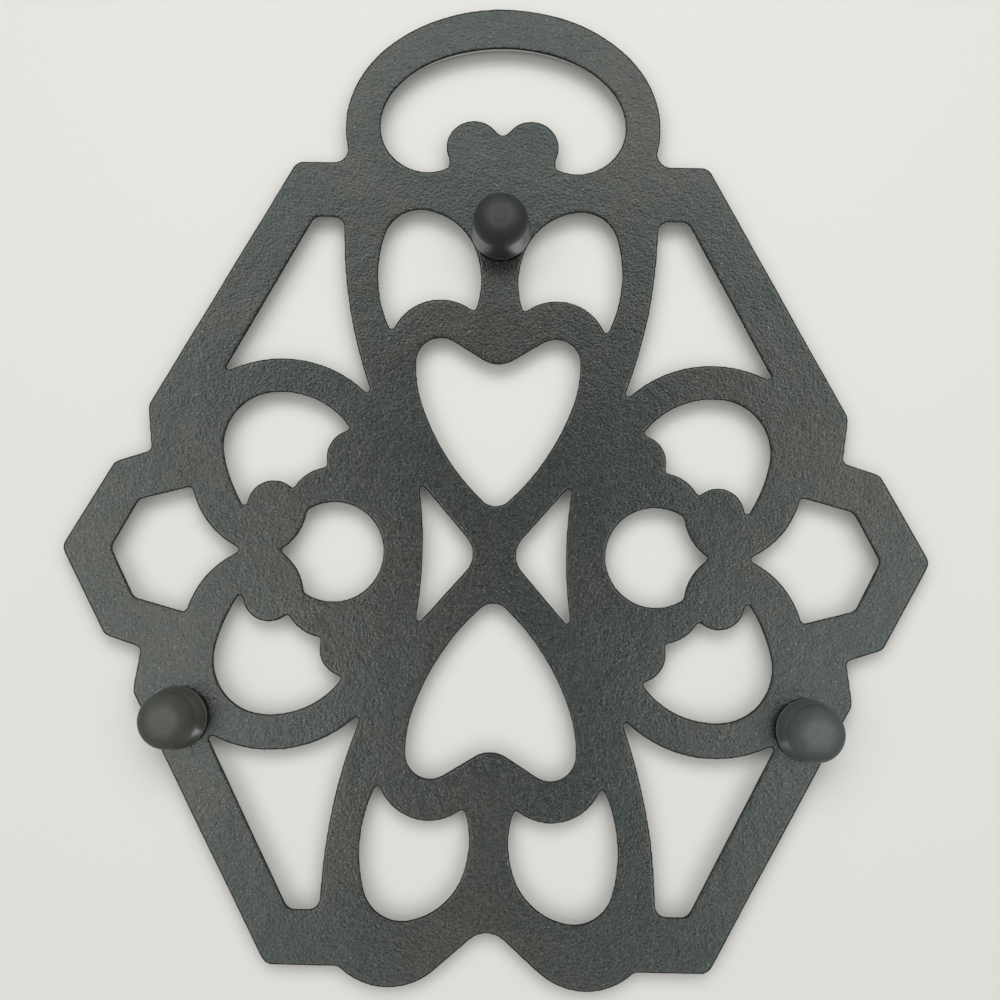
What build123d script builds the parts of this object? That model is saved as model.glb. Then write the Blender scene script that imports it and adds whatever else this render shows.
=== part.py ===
from build123d import *
import os

os.makedirs("parts", exist_ok=True)

# A cast iron trivet that stands on three feet, +Z up, in millimetres.
# The openwork plate has a hanging loop at +Y. Its outlines are drawn about the
# middle of the openwork, which is the same left and right, and top and bottom
# but for the loop and the lower edge.

# Heights
foot_height = 11.5
plate_thickness = 4.5

# Bevel along every edge of the plate's face
face_bevel_width = 2.2
face_bevel_depth = 3.4

# Body of the plate: a wide hexagon with flat ends. Half its width and half its
# length are what the points of the outline and the openings are shares of.
body_half_width = 73.0
body_half_length = 83.4
body_top_corner_share = (1.000, 0.357)
body_low_corner_share = (1.000, -0.349)
waist_share = (0.947, 0.000)
end_low_share = (0.600, -0.983)
body_corner_radius = 2.7

# Two shallow lobes in the lower edge, and the notch between them
notch_share = (0.000, -0.882)
low_lobe_inner_share = (0.140, -0.988)
low_lobe_outer_share = (0.401, -0.983)
notch_radius = 5.0
low_lobe_root_radius = 1.2

# Pointed lobes at the sides
side_lobe_tip_share = (1.223, 0.000)
side_lobe_corner_share = (1.086, 0.216)
side_lobe_root_share = (0.959, 0.252)
side_lobe_corner_radius = 2.7
side_lobe_root_radius = 0.9

# Hanging loop: an elliptical band whose opening has a round lower end
loop_rise = 8.3
loop_opening_half_width = 26.1
loop_opening_half_height = 17.4
loop_side_band = 7.8
loop_top_band = 9.3
loop_shoulder = 10.1
loop_opening_sink = 0.8
loop_root_radius = 2.7

# Top of a heart that stands up into the loop's opening
crest_lobe_x = 6.15
crest_lobe_rise = 3.7
crest_lobe_radius = 6.0
crest_root_angle = -28
crest_top_angle = 135
crest_notch_radius = 1.2

# Radius at the pointed ends of the openings
tip_radius = 0.4

# Petals, each side of the stem that carries the loop
petal_stem_half_width = 4.1
petal_low_share = 0.560
petal_width_share = 0.300
petal_height_share = 0.312
petal_tip_share = (0.05, 0.17)
petal_stem_side_shares = [(0.00, 0.42), (0.05, 0.66)]
petal_top_share = (0.54, 1.00)
petal_shoulder_share = (0.93, 0.79)
petal_outer_tip_share = (0.84, -0.01)
petal_floor_share = (0.37, 0.27)

# Hearts, point to point across the middle
heart_point_share = (0.000, 0.108)
heart_cusp_share = (0.000, 0.462)
heart_top_share = (0.129, 0.532)
heart_side_share = (0.233, 0.482)
heart_flank_share = (0.213, 0.374)
heart_point_radius = 3.6
heart_cusp_radius = 6.2

# Small triangles between the hearts, each side of the bars' crossing
crossing_half_width = 3.0
wedge_tip_share = (0.216, 0.176)
wedge_side_share = (0.199, 0.000)
wedge_inner_radius = 4.9

# Tall triangles under the slanted sides
tall_inner_tip_share = (0.358, 0.387)
tall_side_share = (0.433, 0.615)
tall_top_inner_share = (0.458, 0.851)
tall_top_outer_share = (0.541, 0.851)
tall_outer_tip_share = (0.785, 0.446)
tall_floor_share = (0.575, 0.483)
tall_top_radius = 2.1

# Crescents: a round back from tip to tip, and three bumps
crescent_inner_tip_share = (0.418, 0.306)
crescent_back_shares = [(0.507, 0.373), (0.637, 0.395), (0.771, 0.236)]
crescent_outer_tip_share = (0.704, 0.101)
crescent_bump_shares = [(0.652, 0.173), (0.552, 0.182), (0.484, 0.244)]
crescent_cusp_shares = [(0.574, 0.156), (0.480, 0.212)]

# Round openings with a point, on the middle line
bud_back_share = (0.314, 0.000)
bud_corner_share = (0.530, 0.100)
bud_waist_share = (0.549, 0.047)
bud_point_share = (0.601, 0.000)
bud_corner_radius = 1.0

# Hexagonal openings in the side lobes
hex_point_share = (0.714, 0.000)
hex_inner_share = (0.803, 0.056)
hex_top_share = (0.862, 0.153)
hex_corner_share = (1.007, 0.119)
hex_outer_share = (1.078, 0.000)
hex_corner_radius = 1.8

# Feet: cast posts under rubber caps
loop_foot_share = (0.000, 0.820)
side_foot_share = (0.870, -0.410)
post_radius = 3.4
post_length = 7.4
post_root_radius = 0.8
post_tip_chamfer = 0.5
cap_rim_radius = 6.4
cap_body_radius = 5.6
cap_dome_height = 4.6
cap_flat_radius = 1.2
cap_rim_gap = 0.4
cap_bore_clearance = 0.05
cap_mouth_chamfer = 1.0
cap_rim_softening = 0.4

# The loop stands on the upper end with a shoulder each side, and its opening
# dips into the end
loop_centre_y = body_half_length + loop_rise
loop_half_width = loop_opening_half_width + loop_side_band
loop_half_height = loop_opening_half_height + loop_top_band
loop_opening_low_y = body_half_length - loop_opening_sink
upper_end = (loop_half_width + loop_shoulder, body_half_length)

# The origin is under the middle of the whole outline
top_y = loop_centre_y + loop_half_height


def at(share):
    """The point at these shares of the body's half width and half length."""
    return (share[0] * body_half_width, share[1] * body_half_length)


def below(point):
    return (point[0], -point[1])


def both_sides(point):
    return [point, (-point[0], point[1])]


def four_ways(point):
    return both_sides(point) + both_sides(below(point))


def corners_at(sketch, places):
    """Corners of a sketch that lie nearest to the given places."""
    return [sketch.vertices().sort_by_distance(place)[0] for place in places]


# Outline of the plate
with BuildSketch() as outline:
    with BuildLine():
        notch_side = Line(at(notch_share), at(low_lobe_inner_share))
        low_lobe = TangentArc(notch_side @ 1, at(low_lobe_outer_share), tangent=notch_side % 1)
        Polyline(
            low_lobe @ 1,
            at(end_low_share),
            at(body_low_corner_share),
            at(waist_share),
            at(body_top_corner_share),
            upper_end,
            (0, body_half_length),
        )
        mirror(about=Plane.YZ)
    make_face()
    low_y = -outline.faces()[0].bounding_box().min.Y
    side_lobe_root = at(side_lobe_root_share)
    side_lobe_corner = at(side_lobe_corner_share)
    side_lobe_tip = at(side_lobe_tip_share)
    with BuildLine():
        Polyline((0, side_lobe_root[1]), side_lobe_root, side_lobe_corner, side_lobe_tip)
        mirror(about=Plane.XZ)
        mirror(about=Plane.YZ)
    make_face()
    with Locations((0, loop_centre_y)):
        Ellipse(loop_half_width, loop_half_height)
    body_corners = [at(body_top_corner_share), at(body_low_corner_share), at(end_low_share)]
    for corner in [*body_corners, upper_end]:
        fillet(corners_at(outline, both_sides(corner)), body_corner_radius)
    fillet(corners_at(outline, both_sides(at(low_lobe_outer_share))), low_lobe_root_radius)
    fillet(corners_at(outline, [at(notch_share)]), notch_radius)
    fillet(corners_at(outline, four_ways(side_lobe_corner)), side_lobe_corner_radius)
    fillet(corners_at(outline, both_sides(side_lobe_tip)), side_lobe_corner_radius)
    side_lobe_meeting = (body_half_width, side_lobe_root[1])
    fillet(corners_at(outline, four_ways(side_lobe_meeting)), side_lobe_root_radius)
    loop_meeting = (loop_half_width, body_half_length)
    fillet(corners_at(outline, both_sides(loop_meeting)), loop_root_radius)

pattern_y = (low_y - top_y) / 2
pattern_plane = Plane((0, pattern_y, foot_height))

# Opening of the loop, with the heart's top standing in it
with BuildSketch() as loop_opening:
    with BuildLine():
        arch = EllipticalCenterArc(
            (0, loop_centre_y), loop_opening_half_width, loop_opening_half_height, arc_size=90
        )
        crest = CenterArc(
            (crest_lobe_x, body_half_length + crest_lobe_rise),
            crest_lobe_radius,
            crest_root_angle,
            crest_top_angle - crest_root_angle,
        )
        crest_foot = ((crest @ 0).X, loop_opening_low_y)
        low_end = TangentArc(arch @ 0, crest_foot, tangent=(0, -1))
        Line(low_end @ 1, crest @ 0)
        crest_notch_y = (crest @ 1).Y - (crest @ 1).X
        Line(crest @ 1, (0, crest_notch_y))
        mirror(about=Plane.YZ)
    make_face()
    fillet(corners_at(loop_opening, both_sides(crest_foot)), tip_radius)
    fillet(corners_at(loop_opening, [(0, crest_notch_y)]), crest_notch_radius)


def petal_point(share):
    """A point of the petal from its shares of the petal's own width and height."""
    corner_x, corner_y = petal_stem_half_width, petal_low_share * body_half_length
    petal_width, petal_height = at((petal_width_share, petal_height_share))
    return (corner_x + share[0] * petal_width, corner_y + share[1] * petal_height)


with BuildSketch() as petal:
    with BuildLine():
        tip = petal_point(petal_tip_share)
        stem_side = ThreePointArc(tip, *[petal_point(share) for share in petal_stem_side_shares])
        top_inner = TangentArc(stem_side @ 1, petal_point(petal_top_share), tangent=stem_side % 1)
        shoulder = TangentArc(top_inner @ 1, petal_point(petal_shoulder_share), tangent=top_inner % 1)
        outer_tip = petal_point(petal_outer_tip_share)
        TangentArc(shoulder @ 1, outer_tip, tangent=shoulder % 1)
        ThreePointArc(outer_tip, petal_point(petal_floor_share), tip)
    make_face()
    fillet(corners_at(petal, [tip, outer_tip]), tip_radius)

with BuildSketch() as heart:
    with BuildLine():
        cusp_side = Line(at(heart_cusp_share), at(heart_top_share))
        lobe = TangentArc(cusp_side @ 1, at(heart_side_share), tangent=cusp_side % 1)
        flank = TangentArc(lobe @ 1, at(heart_flank_share), tangent=lobe % 1)
        TangentArc(flank @ 1, at(heart_point_share), tangent=flank % 1)
        mirror(about=Plane.YZ)
    make_face()
    fillet(corners_at(heart, [at(heart_point_share)]), heart_point_radius)
    fillet(corners_at(heart, [at(heart_cusp_share)]), heart_cusp_radius)

with BuildSketch() as wedge:
    wedge_point = (crossing_half_width, 0)
    wedge_tip = at(wedge_tip_share)
    with BuildLine():
        Polyline(wedge_tip, wedge_point, below(wedge_tip))
        ThreePointArc(below(wedge_tip), at(wedge_side_share), wedge_tip)
    make_face()
    fillet(corners_at(wedge, [wedge_point]), wedge_inner_radius)
    fillet(corners_at(wedge, [wedge_tip, below(wedge_tip)]), tip_radius)

with BuildSketch() as tall_triangle:
    inner_tip, outer_tip = at(tall_inner_tip_share), at(tall_outer_tip_share)
    top_corners = [at(tall_top_inner_share), at(tall_top_outer_share)]
    with BuildLine():
        ThreePointArc(inner_tip, at(tall_side_share), top_corners[0])
        Polyline(*top_corners, outer_tip)
        ThreePointArc(outer_tip, at(tall_floor_share), inner_tip)
    make_face()
    fillet(corners_at(tall_triangle, [inner_tip, outer_tip]), tip_radius)
    fillet(corners_at(tall_triangle, top_corners), tall_top_radius)

with BuildSketch() as crescent:
    inner_tip, outer_tip = at(crescent_inner_tip_share), at(crescent_outer_tip_share)
    cusps = [at(share) for share in crescent_cusp_shares]
    back = [at(share) for share in crescent_back_shares]
    with BuildLine():
        back_start = ThreePointArc(inner_tip, back[0], back[1])
        back_middle = TangentArc(back_start @ 1, back[2], tangent=back_start % 1)
        TangentArc(back_middle @ 1, outer_tip, tangent=back_middle % 1)
        ends = [outer_tip, *cusps, inner_tip]
        for start, share, end in zip(ends, crescent_bump_shares, ends[1:]):
            ThreePointArc(start, at(share), end)
    make_face()
    fillet(corners_at(crescent, ends), tip_radius)

with BuildSketch() as bud:
    upper_corner = at(bud_corner_share)
    point = at(bud_point_share)
    with BuildLine():
        ThreePointArc(upper_corner, at(bud_back_share), below(upper_corner))
        ThreePointArc(upper_corner, at(bud_waist_share), point)
        ThreePointArc(below(upper_corner), below(at(bud_waist_share)), point)
    make_face()
    fillet(corners_at(bud, [upper_corner, below(upper_corner)]), bud_corner_radius)
    fillet(corners_at(bud, [point]), tip_radius)

with BuildSketch() as hexagon:
    point, top, corner = at(hex_point_share), at(hex_top_share), at(hex_corner_share)
    outer_corner = at(hex_outer_share)
    with BuildLine():
        ThreePointArc(point, at(hex_inner_share), top)
        Polyline(top, corner, outer_corner)
        mirror(about=Plane.XZ)
    make_face()
    fillet(corners_at(hexagon, [point, top, below(top)]), tip_radius)
    fillet(corners_at(hexagon, [corner, outer_corner, below(corner)]), hex_corner_radius)

# The openwork casting: one plate with its loop and the posts of its feet
loop_foot, side_foot = at(loop_foot_share), at(side_foot_share)
foot_places = {
    "foot_cap_loop": (loop_foot[0], pattern_y + loop_foot[1]),
    "foot_cap_left": (-side_foot[0], pattern_y + side_foot[1]),
    "foot_cap_right": (side_foot[0], pattern_y + side_foot[1]),
}

with BuildPart() as plate:
    with BuildSketch(pattern_plane):
        add(outline.sketch)
        add(loop_opening.sketch, mode=Mode.SUBTRACT)
        for opening in [petal, tall_triangle, crescent]:
            lower = mirror(opening.sketch, about=Plane.XZ, mode=Mode.PRIVATE)
            for shape in [opening.sketch, lower]:
                add(shape, mode=Mode.SUBTRACT)
                add(mirror(shape, about=Plane.YZ, mode=Mode.PRIVATE), mode=Mode.SUBTRACT)
        for opening in [wedge, bud, hexagon]:
            add(opening.sketch, mode=Mode.SUBTRACT)
            add(mirror(opening.sketch, about=Plane.YZ, mode=Mode.PRIVATE), mode=Mode.SUBTRACT)
        add(heart.sketch, mode=Mode.SUBTRACT)
        add(mirror(heart.sketch, about=Plane.XZ, mode=Mode.PRIVATE), mode=Mode.SUBTRACT)
    extrude(amount=plate_thickness)
    face = plate.faces().sort_by(Axis.Z)[-1]
    chamfer(face.edges(), face_bevel_width, face_bevel_depth, reference=face)
    with BuildSketch(Plane.XY.offset(foot_height)):
        with Locations(*foot_places.values()):
            Circle(post_radius)
    extrude(amount=-post_length)
    post_circles = plate.edges(Select.LAST).filter_by(GeomType.CIRCLE).group_by(Axis.Z)
    fillet(post_circles[-1], post_root_radius)
    chamfer(post_circles[0], post_tip_chamfer)

plate.part.label = "trivet_plate"
export_step(plate.part, "parts/trivet_plate.step")

# Rubber caps, each pushed over its post until the bore's floor meets the post's tip
cap_rim_z = foot_height - cap_rim_gap
bore_floor_z = foot_height - post_length
bore_radius = post_radius + cap_bore_clearance

for node, (x, y) in foot_places.items():
    with BuildPart() as cap:
        with BuildSketch(Plane((x, y, 0), x_dir=(1, 0, 0), z_dir=(0, -1, 0))) as section:
            with BuildLine():
                Polyline((0, bore_floor_z), (0, 0), (cap_flat_radius, 0))
                dome = TangentArc(
                    (cap_body_radius, cap_dome_height), (cap_flat_radius, 0), tangent=(0, -1)
                )
                Polyline(
                    dome @ 0,
                    (cap_rim_radius, cap_rim_z),
                    (bore_radius, cap_rim_z),
                    (bore_radius, bore_floor_z),
                    (0, bore_floor_z),
                )
            make_face()
            fillet(corners_at(section, [(cap_rim_radius, cap_rim_z)]), cap_rim_softening)
            chamfer(corners_at(section, [(bore_radius, cap_rim_z)]), cap_mouth_chamfer)
        revolve(axis=Axis((x, y, 0), (0, 0, 1)))
    cap.part.label = node
    export_step(cap.part, f"parts/{node}.step")
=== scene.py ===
import math
import bpy
import numpy as np
from mathutils import Euler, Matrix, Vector, noise


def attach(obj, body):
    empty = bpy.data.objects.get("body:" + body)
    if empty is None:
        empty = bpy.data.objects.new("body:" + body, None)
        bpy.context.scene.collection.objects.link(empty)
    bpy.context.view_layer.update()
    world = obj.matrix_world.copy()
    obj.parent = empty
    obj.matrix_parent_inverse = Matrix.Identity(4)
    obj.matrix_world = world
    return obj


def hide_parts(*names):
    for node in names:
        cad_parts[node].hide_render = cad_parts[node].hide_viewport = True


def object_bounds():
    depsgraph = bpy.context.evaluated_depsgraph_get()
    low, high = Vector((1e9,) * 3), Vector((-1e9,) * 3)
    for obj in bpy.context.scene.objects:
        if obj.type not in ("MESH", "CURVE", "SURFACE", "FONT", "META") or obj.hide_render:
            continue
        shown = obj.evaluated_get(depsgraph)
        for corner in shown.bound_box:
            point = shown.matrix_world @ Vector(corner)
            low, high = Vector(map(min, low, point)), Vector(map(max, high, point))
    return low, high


# Openwork cast iron trivet with three rubber foot caps. It stands on its feet,
# and the camera looks up at its back from below, as in the photograph.

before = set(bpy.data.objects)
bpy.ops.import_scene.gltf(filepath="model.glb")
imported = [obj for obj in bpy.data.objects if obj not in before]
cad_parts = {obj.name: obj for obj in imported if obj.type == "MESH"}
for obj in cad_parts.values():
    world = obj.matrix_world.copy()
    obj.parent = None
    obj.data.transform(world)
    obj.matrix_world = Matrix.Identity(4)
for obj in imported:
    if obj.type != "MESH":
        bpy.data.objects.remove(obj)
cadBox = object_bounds()
scene = bpy.context.scene
mm = 0.001    # everything in Blender is in metres
print("frame loaded, nodes:", ", ".join(sorted(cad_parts)))


# node tree helpers

def addNode(tree, kind, place, **settings):
    node = tree.nodes.new(kind)
    node.location = place
    for name, value in settings.items():
        setattr(node, name, value)
    return node


def plug(tree, socket, source):
    if isinstance(source, bpy.types.NodeSocket):
        tree.links.new(source, socket)
    else:
        socket.default_value = source


def calculate(tree, operation, place, *values):
    node = addNode(tree, "ShaderNodeMath", place, operation=operation)
    for socket, value in zip(node.inputs, values):
        plug(tree, socket, value)
    return node.outputs[0]


def remap(tree, place, value, fromLow, fromHigh, toLow, toHigh):
    node = addNode(tree, "ShaderNodeMapRange", place)
    for socket, source in zip(node.inputs, (value, fromLow, fromHigh, toLow, toHigh)):
        plug(tree, socket, source)
    return node.outputs[0]


def fractal(tree, place, where, scale, detail, roughness):
    node = addNode(tree, "ShaderNodeTexNoise", place)
    plug(tree, node.inputs["Vector"], where)
    plug(tree, node.inputs["Scale"], scale)
    plug(tree, node.inputs["Detail"], detail)
    plug(tree, node.inputs["Roughness"], roughness)
    return node.outputs["Fac"]


def blendColours(tree, place, amount, first, second):
    node = addNode(tree, "ShaderNodeMix", place, data_type="RGBA")
    plug(tree, node.inputs["Factor"], amount)
    plug(tree, node.inputs["A"], first)
    plug(tree, node.inputs["B"], second)
    return node.outputs["Result"]


def scaleColour(tree, place, colour, factor):
    node = addNode(tree, "ShaderNodeVectorMath", place, operation="SCALE")
    plug(tree, node.inputs[0], colour)
    plug(tree, node.inputs["Scale"], factor)
    return node.outputs[0]


def newGroup(name, inputs, outputs):
    tree = bpy.data.node_groups.new(name, "ShaderNodeTree")
    for label, default in inputs.items():
        kind = "NodeSocketColor" if isinstance(default, tuple) else "NodeSocketFloat"
        socket = tree.interface.new_socket(label, in_out="INPUT", socket_type=kind)
        socket.default_value = default
    for label, kind in outputs.items():
        tree.interface.new_socket(label, in_out="OUTPUT", socket_type=kind)
    entry = addNode(tree, "NodeGroupInput", (-1200, 0))
    exit = addNode(tree, "NodeGroupOutput", (900, 0))
    return tree, entry, exit


def placeGroup(tree, group, place, values):
    node = addNode(tree, "ShaderNodeGroup", place, node_tree=group)
    for label, value in values.items():
        plug(tree, node.inputs[label], value)
    return node


def newMaterial(name):
    material = bpy.data.materials.new(name)
    material.use_nodes = True
    tree = material.node_tree
    tree.nodes.clear()
    shader = addNode(tree, "ShaderNodeBsdfPrincipled", (600, 0))
    output = addNode(tree, "ShaderNodeOutputMaterial", (900, 0))
    tree.links.new(shader.outputs[0], output.inputs["Surface"])
    return material, tree, shader


def roughenNormal(tree, shader, height, depth):
    bump = addNode(tree, "ShaderNodeBump", (200, -300))
    bump.inputs["Strength"].default_value = 1.0
    bump.inputs["Distance"].default_value = depth
    plug(tree, bump.inputs["Height"], height)
    plug(tree, shader.inputs["Normal"], bump.outputs["Normal"])


# shared effects

noiseSpan = (0.3, 0.7)    # where nearly all of a fractal's values lie
glintEdge = 0.08    # how soon a painted glint reaches its full colour


def makeGrainGroup():
    # fine grain with a coarser unevenness under it, as sand or a mould leaves it
    tree, entry, exit = newGroup(
        "surfaceGrain",
        {"Grain Per Metre": 2500.0, "Specks Per Metre": 4000.0, "Lumps Per Metre": 600.0,
         "Lump Share": 0.5, "Glint Level": 0.7},
        {"Height": "NodeSocketFloat", "Glint": "NodeSocketFloat",
         "Grain": "NodeSocketFloat", "Specks": "NodeSocketFloat"},
    )
    where = addNode(tree, "ShaderNodeTexCoord", (-1200, 300)).outputs["Object"]
    grain = fractal(tree, (-800, 200), where, entry.outputs["Grain Per Metre"], 3.0, 0.6)
    lumps = fractal(tree, (-800, -100), where, entry.outputs["Lumps Per Metre"], 3.0, 0.55)
    specks = fractal(tree, (-800, -400), where, entry.outputs["Specks Per Metre"], 1.0, 0.6)
    lumpPart = calculate(tree, "MULTIPLY", (-500, -100), lumps, entry.outputs["Lump Share"])
    height = calculate(tree, "ADD", (-250, 100), grain, lumpPart)
    # specks above the level give the mask of pale flecks painted as glints
    glintTop = calculate(tree, "ADD", (-500, -350), entry.outputs["Glint Level"], glintEdge)
    glint = remap(tree, (-200, -300), specks, entry.outputs["Glint Level"], glintTop, 0.0, 1.0)
    plug(tree, exit.inputs["Height"], height)
    plug(tree, exit.inputs["Glint"], glint)
    plug(tree, exit.inputs["Grain"], grain)
    plug(tree, exit.inputs["Specks"], specks)
    return tree


def makeToneGroup():
    # slow drift between two tones over the whole surface
    tree, entry, exit = newGroup(
        "toneDrift",
        {"Drift Per Metre": 20.0, "Mottle Per Metre": 160.0, "Mottle Share": 0.4,
         "Dark Tone": (0.05, 0.05, 0.05, 1.0), "Light Tone": (0.1, 0.1, 0.1, 1.0)},
        {"Colour": "NodeSocketColor", "Drift": "NodeSocketFloat"},
    )
    where = addNode(tree, "ShaderNodeTexCoord", (-1200, 300)).outputs["Object"]
    drift = fractal(tree, (-800, 200), where, entry.outputs["Drift Per Metre"], 2.0, 0.5)
    mottle = fractal(tree, (-800, -100), where, entry.outputs["Mottle Per Metre"], 3.0, 0.6)
    both = addNode(tree, "ShaderNodeMix", (-500, 100), data_type="FLOAT")
    plug(tree, both.inputs["Factor"], entry.outputs["Mottle Share"])
    plug(tree, both.inputs["A"], drift)
    plug(tree, both.inputs["B"], mottle)
    spread = remap(tree, (-250, 100), both.outputs[0], *noiseSpan, 0.0, 1.0)
    colour = blendColours(
        tree, (50, 0), spread, entry.outputs["Dark Tone"], entry.outputs["Light Tone"]
    )
    plug(tree, exit.inputs["Colour"], colour)
    plug(tree, exit.inputs["Drift"], spread)
    return tree


def makeWallGroup():
    # 1 on walls and rounded edges below a height, fading to 0 above it and on flat faces
    tree, entry, exit = newGroup(
        "wallMask",
        {"Flatness": 0.985, "Steepness": 0.9, "Height": 0.01, "Fade": 0.001},
        {"Wall": "NodeSocketFloat"},
    )
    where = addNode(tree, "ShaderNodeTexCoord", (-1000, 0))
    slope = addNode(tree, "ShaderNodeSeparateXYZ", (-800, 150))
    plug(tree, slope.inputs[0], where.outputs["Normal"])
    level = calculate(tree, "ABSOLUTE", (-600, 150), slope.outputs["Z"])
    flatness, steepness = entry.outputs["Flatness"], entry.outputs["Steepness"]
    steep = remap(tree, (-350, 150), level, flatness, steepness, 0.0, 1.0)
    spot = addNode(tree, "ShaderNodeSeparateXYZ", (-800, -150))
    plug(tree, spot.inputs[0], where.outputs["Object"])
    top = calculate(tree, "ADD", (-600, -300), entry.outputs["Height"], entry.outputs["Fade"])
    low = remap(tree, (-350, -150), spot.outputs["Z"], entry.outputs["Height"], top, 1.0, 0.0)
    wall = calculate(tree, "MULTIPLY", (0, 0), steep, low)
    plug(tree, exit.inputs["Wall"], wall)
    return tree


grainGroup = makeGrainGroup()
toneGroup = makeToneGroup()
wallGroup = makeWallGroup()
print("shared effects built")


# the casting

casting = {
    "weldReach": 0.01 * mm,
    "voxelSize": 0.30 * mm,
    "smoothFactor": 0.5,
    "smoothSteps": 2,
    "facesKept": 0.45,
    "waveDepth": 0.12 * mm,    # slow and quick unevenness of a sand casting
    "waveLength": 11 * mm,
    "lumpDepth": 0.05 * mm,
    "lumpLength": 2.4 * mm,
    "draftDepth": 0.34 * mm,    # the walls lean in a little from the back's edge
    "draftLevels": (11.5 * mm, 12.6 * mm, 14.6 * mm),    # none, full, none again
    "coolTone": (0.069, 0.086, 0.082, 1.0),
    "warmTone": (0.095, 0.094, 0.085, 1.0),
    # pale flecks painted into the colour as glints on sand grains
    "glintTone": (0.20, 0.21, 0.205, 1.0),
    # painted shade on the walls and rounded edges near the back
    "wallShadeTone": (0.014, 0.015, 0.015, 1.0),
    "shadedEdgeTop": 11.7 * mm,    # the back lies at 11.5 mm; walls and rounded edges near it are painted dark as shade
    "shadedEdgeFade": 0.3 * mm,
    "metallic": 0.95,
    "roughness": (0.15, 0.29),    # lowest and highest
    "grain": {
        "Grain Per Metre": 1800.0,
        "Specks Per Metre": 2400.0,
        "Lumps Per Metre": 600.0,
        "Lump Share": 0.7,
        "Glint Level": 0.69,
    },
    "drift": {"Drift Per Metre": 36.0, "Mottle Per Metre": 240.0, "Mottle Share": 0.35},
    "edges": {"Flatness": 0.986, "Steepness": 0.95},
    "speckShade": (0.84, 1.16),    # how far the specks darken and lighten the tone
    "bumpDepth": 0.105 * mm,
}


def makeIronMaterial(look):
    material, tree, shader = newMaterial("blackenedCastIron")
    grain = placeGroup(tree, grainGroup, (-500, -200), look["grain"])
    tone = placeGroup(tree, toneGroup, (-500, 200), {
        **look["drift"],
        "Dark Tone": look["coolTone"],
        "Light Tone": look["warmTone"],
    })
    wall = placeGroup(tree, wallGroup, (-500, 500), {
        **look["edges"],
        "Height": look["shadedEdgeTop"],
        "Fade": look["shadedEdgeFade"],
    })
    dim, bright = look["speckShade"]
    shade = remap(tree, (-300, 100), grain.outputs["Specks"], *noiseSpan, dim, bright)
    shaded = scaleColour(tree, (-150, 200), tone.outputs["Colour"], shade)
    # pale flecks painted into the colour as glints
    glinted = blendColours(tree, (0, 200), grain.outputs["Glint"], shaded, look["glintTone"])
    # walls and rounded edges near the back painted dark as shade
    colour = blendColours(tree, (250, 250), wall.outputs["Wall"], glinted, look["wallShadeTone"])
    plug(tree, shader.inputs["Base Color"], colour)
    low, high = look["roughness"]
    rough = remap(tree, (0, 0), grain.outputs["Grain"], *noiseSpan, low, high)
    plug(tree, shader.inputs["Roughness"], rough)
    shader.inputs["Metallic"].default_value = look["metallic"]
    roughenNormal(tree, shader, grain.outputs["Height"], look["bumpDepth"])
    return material


def bakeModifiers(piece):
    # the modifiers' result becomes the piece's own mesh
    depsgraph = bpy.context.evaluated_depsgraph_get()
    mesh = bpy.data.meshes.new_from_object(piece.evaluated_get(depsgraph))
    piece.modifiers.clear()
    piece.data = mesh
    return mesh


lumpShift = 1.0    # keeps the two noises of the surface apart


def castSurface(mesh, look):
    # sand casting leaves the surface slightly uneven; it only ever falls inwards
    count = len(mesh.vertices)
    places = np.zeros(count * 3)
    normals = np.zeros(count * 3)
    mesh.vertices.foreach_get("co", places)
    mesh.vertices.foreach_get("normal", normals)
    places = places.reshape(-1, 3)
    normals = normals.reshape(-1, 3)
    depth = np.empty(count)
    for index, (x, y, z) in enumerate(places):
        wave = noise.noise(Vector((x, y, z)) / look["waveLength"])
        lump = noise.noise(Vector((x + lumpShift, y, z)) / look["lumpLength"])
        depth[index] = look["waveDepth"] * (wave + 1) / 2 + look["lumpDepth"] * (lump + 1) / 2
    draft = np.interp(places[:, 2], look["draftLevels"], (0, look["draftDepth"], 0))
    sideways = np.hypot(normals[:, 0], normals[:, 1])
    depth += draft * sideways
    places -= normals * depth[:, None]
    mesh.vertices.foreach_set("co", places.ravel())
    mesh.update()


def buildCasting(look):
    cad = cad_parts["trivet_plate"]
    piece = bpy.data.objects.new("trivetCasting", cad.data.copy())
    scene.collection.objects.link(piece)
    weld = piece.modifiers.new("weld", "WELD")
    weld.merge_threshold = look["weldReach"]
    remesh = piece.modifiers.new("remesh", "REMESH")
    remesh.mode = "VOXEL"
    remesh.voxel_size = look["voxelSize"]
    remesh.use_smooth_shade = True
    smooth = piece.modifiers.new("smooth", "SMOOTH")
    smooth.factor = look["smoothFactor"]
    smooth.iterations = look["smoothSteps"]
    castSurface(bakeModifiers(piece), look)
    thin = piece.modifiers.new("thin", "DECIMATE")
    thin.ratio = look["facesKept"]
    mesh = bakeModifiers(piece)
    for polygon in mesh.polygons:
        polygon.use_smooth = True
    mesh.materials.clear()
    mesh.materials.append(makeIronMaterial(look))
    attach(piece, "root")
    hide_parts("trivet_plate")
    print("casting built, faces:", len(mesh.polygons))


buildCasting(casting)


# the rubber caps

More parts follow.
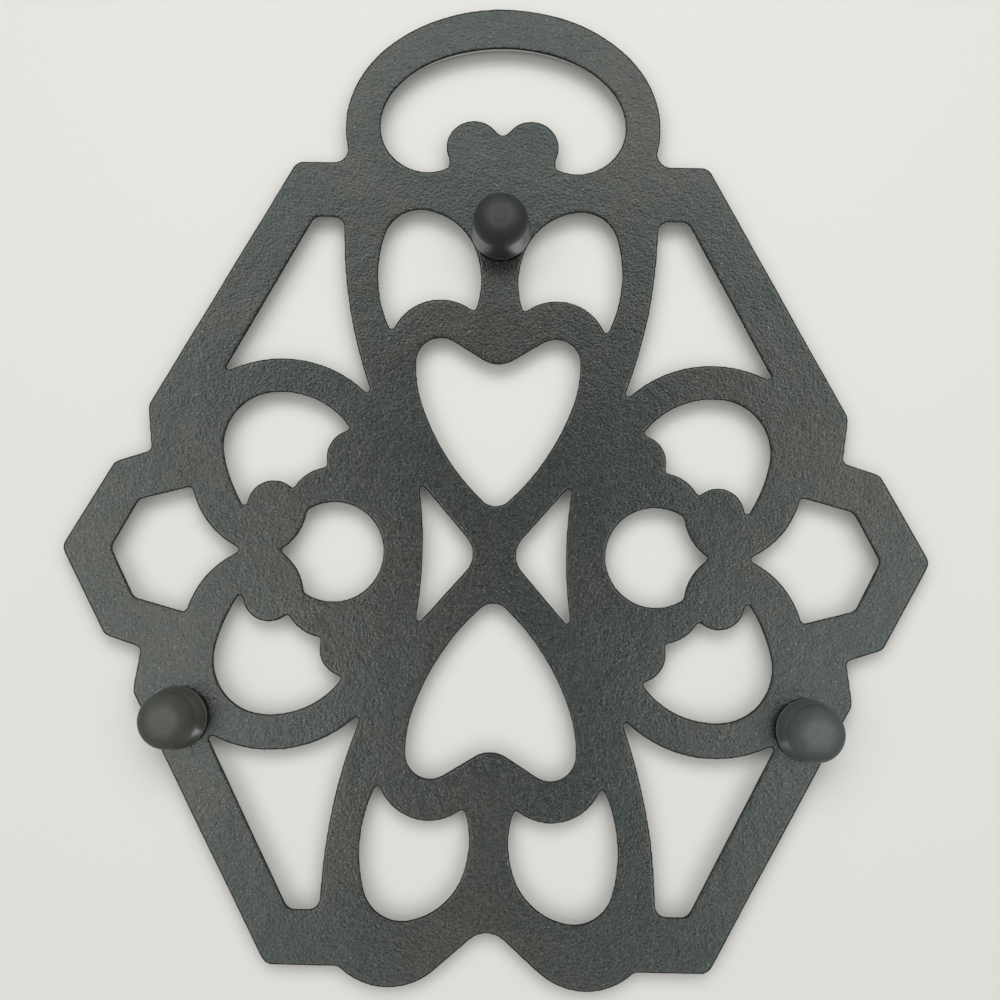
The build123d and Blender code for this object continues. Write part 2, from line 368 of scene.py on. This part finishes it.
caps = {
    "tonesWithPaintedLight": {    # dark and light rubber of each cap; the three are one rubber, each set lighter or darker as painted light and shade
        "foot_cap_loop": [(0.021, 0.024, 0.022, 1.0), (0.040, 0.045, 0.041, 1.0)],
        "foot_cap_left": [(0.058, 0.069, 0.065, 1.0), (0.096, 0.112, 0.105, 1.0)],
        "foot_cap_right": [(0.043, 0.047, 0.041, 1.0), (0.073, 0.079, 0.068, 1.0)],
    },
    "roughness": (0.36, 0.46),    # lowest and highest
    "specular": 0.40,
    "grain": {"Grain Per Metre": 3500.0, "Lumps Per Metre": 500.0, "Lump Share": 1.5},
    "drift": {"Drift Per Metre": 90.0, "Mottle Per Metre": 700.0, "Mottle Share": 0.4},
    "shoulder": {"Flatness": 0.96, "Steepness": 0.80},
    "shoulderShadeTop": 4.2 * mm,    # the dome's shoulder is rougher, and darker as painted shade
    "shoulderShadeFade": 1.2 * mm,
    "shoulderShade": 0.80,
    "shoulderRoughness": 0.75,
    "rimHighlightLevels": (9.7 * mm, 10.1 * mm),    # a pale band on the rim is a painted highlight, more in some places
    "rimHighlight": 2.8,
    "rimHighlightLeast": 0.35,
    "bumpDepth": 0.05 * mm,
}


def makeRubberMaterial(look, node):
    material, tree, shader = newMaterial("mouldedRubber_" + node)
    darkTone, lightTone = look["tonesWithPaintedLight"][node]
    grain = placeGroup(tree, grainGroup, (-500, -200), look["grain"])
    tone = placeGroup(tree, toneGroup, (-500, 200), {
        **look["drift"],
        "Dark Tone": darkTone,
        "Light Tone": lightTone,
    })
    shoulder = placeGroup(tree, wallGroup, (-500, 500), {
        **look["shoulder"],
        "Height": look["shoulderShadeTop"],
        "Fade": look["shoulderShadeFade"],
    })
    plain = tone.outputs["Colour"]
    # the shoulder's colour painted darker as shade
    shoulderShaded = scaleColour(tree, (-150, 350), plain, look["shoulderShade"])
    domed = blendColours(tree, (50, 250), shoulder.outputs["Wall"], plain, shoulderShaded)
    where = addNode(tree, "ShaderNodeTexCoord", (-900, 900)).outputs["Object"]
    spot = addNode(tree, "ShaderNodeSeparateXYZ", (-700, 900))
    plug(tree, spot.inputs[0], where)
    # painted highlight along the cap's rim
    rim = remap(tree, (-500, 900), spot.outputs["Z"], *look["rimHighlightLevels"], 0.0, 1.0)
    uneven = remap(tree, (-250, 700), tone.outputs["Drift"], 0.0, 1.0, look["rimHighlightLeast"], 1.0)
    rimHighlightMask = calculate(tree, "MULTIPLY", (-50, 800), rim, uneven)
    pale = scaleColour(tree, (-150, 550), plain, look["rimHighlight"])
    colour = blendColours(tree, (300, 300), rimHighlightMask, domed, pale)
    plug(tree, shader.inputs["Base Color"], colour)
    shader.inputs["Specular IOR Level"].default_value = look["specular"]
    low, high = look["roughness"]
    rough = remap(tree, (0, 0), grain.outputs["Grain"], *noiseSpan, low, high)
    matt = addNode(tree, "ShaderNodeMix", (200, 0), data_type="FLOAT")
    plug(tree, matt.inputs["Factor"], shoulder.outputs["Wall"])
    plug(tree, matt.inputs["A"], rough)
    matt.inputs["B"].default_value = look["shoulderRoughness"]
    plug(tree, shader.inputs["Roughness"], matt.outputs[0])
    roughenNormal(tree, shader, grain.outputs["Height"], look["bumpDepth"])
    return material


for name in caps["tonesWithPaintedLight"]:
    rubber = makeRubberMaterial(caps, name)
    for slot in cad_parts[name].material_slots:
        slot.material = rubber
print("caps dressed")


# camera, at the photograph's place

view = {
    "place": (-3.071 * mm, -30.324 * mm, -217.918 * mm),
    "turnDegrees": (-173.689, -0.4073, 178.8655),
    "lens": 40.32,
    "sensor": 36.0,
}

cameraData = bpy.data.cameras.new("camera")
cameraData.lens = view["lens"]
cameraData.sensor_width = view["sensor"]
cameraData.clip_start = 10 * mm
camera = bpy.data.objects.new("camera", cameraData)
camera.location = view["place"]
camera.rotation_euler = Euler([math.radians(angle) for angle in view["turnDegrees"]])
scene.collection.objects.link(camera)
scene.camera = camera


# stage: a floor under the feet, seen from above, and the sheet that the face lies on
# in the photograph, seen from below; neither shows from its other side

stageLook = {
    "floorPaper": (0.78, 0.78, 0.745, 1.0),
    "sheetPaper": (0.66, 0.655, 0.622, 1.0),
    "reach": 30.0,    # from the middle to each edge, so that no edge shows
}


def makePaper(name, colour):
    material = bpy.data.materials.new(name)
    material.use_nodes = True
    tree = material.node_tree
    tree.nodes.clear()
    output = addNode(tree, "ShaderNodeOutputMaterial", (600, 0))
    mix = addNode(tree, "ShaderNodeMixShader", (400, 0))
    paper = addNode(tree, "ShaderNodeBsdfDiffuse", (100, -200))
    clear = addNode(tree, "ShaderNodeBsdfTransparent", (100, 0))
    geometry = addNode(tree, "ShaderNodeNewGeometry", (-200, 200))
    paper.inputs["Color"].default_value = colour
    tree.links.new(geometry.outputs["Backfacing"], mix.inputs[0])
    tree.links.new(paper.outputs[0], mix.inputs[1])
    tree.links.new(clear.outputs[0], mix.inputs[2])
    tree.links.new(mix.outputs[0], output.inputs["Surface"])
    return material


def makeSheet(name, height, facesUp, colour):
    reach = stageLook["reach"]
    corners = [(-reach, -reach, height), (reach, -reach, height),
               (reach, reach, height), (-reach, reach, height)]
    if not facesUp:
        corners.reverse()
    mesh = bpy.data.meshes.new(name)
    mesh.from_pydata(corners, [], [(0, 1, 2, 3)])
    mesh.materials.append(makePaper(name + "Paper", colour))
    sheet = bpy.data.objects.new(name, mesh)
    scene.collection.objects.link(sheet)
    sheet.visible_shadow = False
    sheet.visible_diffuse = False
    sheet.visible_glossy = False


makeSheet("floor", cadBox[0].z, True, stageLook["floorPaper"])
makeSheet("backSheet", cadBox[1].z, False, stageLook["sheetPaper"])


# light: soft lamps under the trivet for the photograph's side, and over it for the face

def addLamp(name, place, size, power, inSheen):
    data = bpy.data.lights.new(name, "AREA")
    data.shape = "SQUARE"
    data.size = size
    data.energy = power
    lamp = bpy.data.objects.new(name, data)
    lamp.location = place
    away = Vector(place) - Vector(lampAim)
    lamp.rotation_euler = away.to_track_quat("Z", "Y").to_euler()
    lamp.visible_camera = False
    lamp.visible_glossy = inSheen
    scene.collection.objects.link(lamp)


lamps = {    # place, side length, power, and whether it shows in the iron's sheen
    "underLeft": ((-0.18, -0.085, -0.585), 0.09, 0.15, True),
    "underRight": ((0.18, -0.085, -0.585), 0.09, 0.18, True),
    "underSoft": ((0.0, 0.20, -0.40), 0.25, 0.62, False),
    "overKey": ((-0.50, -0.45, 0.80), 0.6, 3.0, True),
    "overFill": ((0.60, -0.30, 0.60), 0.7, 1.5, True),
}
lampAim = (0.0, 0.0, 0.014)

studio = {
    "roomColour": (0.735, 0.735, 0.70, 1.0),
    "horizonColour": (0.57, 0.57, 0.53, 1.0),
    "horizonHeight": 0.35,    # how far up its colour turns into the room's
    "horizonEdge": -0.02,    # and how far down into the low light's
    "lowColour": (0.20, 0.20, 0.195, 1.0),
    "angles": (15, 27, 42, 54),    # from straight down: dark place, ring, its end, low light
    "centreAngle": 6,
    "centreLight": 0.3,
    "darkLight": 0.0,
    "ringLight": 1.93,
    "nearLight": 0.72,    # the ring's share of light on the side away from the loop
    "nearSpan": (-0.5, 0.5),    # where that share turns into the whole
    "sideGlow": (0.32, 0.44, 0.45),    # extra light at both sides: start, end, strength
}

for name, (place, size, power, inSheen) in lamps.items():
    addLamp(name, place, size, power, inSheen)


def makeStudio(look):
    # a plain pale room above; below, a ring of soft light round the camera's dark place
    world = bpy.data.worlds.new("studio")
    scene.world = world
    world.use_nodes = True
    tree = world.node_tree
    tree.nodes.clear()
    output = addNode(tree, "ShaderNodeOutputWorld", (600, 0))
    room = addNode(tree, "ShaderNodeBackground", (400, 0))
    heading = addNode(tree, "ShaderNodeTexCoord", (-1100, 100)).outputs["Generated"]
    parts = addNode(tree, "ShaderNodeSeparateXYZ", (-900, 100))
    plug(tree, parts.inputs[0], heading)
    level = parts.outputs["Z"]
    dark, ring, fade, end = [-math.cos(math.radians(angle)) for angle in look["angles"]]
    ringed = remap(tree, (-600, 300), level, dark, ring, look["darkLight"], look["ringLight"])
    centre = -math.cos(math.radians(look["centreAngle"]))
    core = remap(tree, (-600, 600), level, -1.0, centre, look["centreLight"], 0.0)
    inner = calculate(tree, "ADD", (-450, 450), ringed, core)
    outer = remap(tree, (-600, 0), level, fade, end, 0.0, 1.0)
    side = remap(
        tree, (-600, -300), parts.outputs["Y"], *look["nearSpan"], look["nearLight"], 1.0
    )
    across = calculate(tree, "ABSOLUTE", (-750, -600), parts.outputs["X"])
    glowStart, glowEnd, glowLight = look["sideGlow"]
    glow = remap(tree, (-600, -600), across, glowStart, glowEnd, 0.0, glowLight)
    lit = calculate(tree, "ADD", (-400, 300), inner, glow)
    tilted = calculate(tree, "MULTIPLY", (-350, 200), lit, side)
    below = blendColours(tree, (-100, 100), outer, tilted, look["lowColour"])
    climb = remap(tree, (-350, -450), level, 0.0, look["horizonHeight"], 0.0, 1.0)
    above = blendColours(tree, (-100, -450), climb, look["horizonColour"], look["roomColour"])
    upper = remap(tree, (-350, -200), level, look["horizonEdge"], 0.0, 0.0, 1.0)
    whole = blendColours(tree, (150, 0), upper, below, above)
    plug(tree, room.inputs["Color"], whole)
    tree.links.new(room.outputs[0], output.inputs["Surface"])


makeStudio(studio)
scene.view_settings.view_transform = "Standard"
print("stage, lamps and camera set")
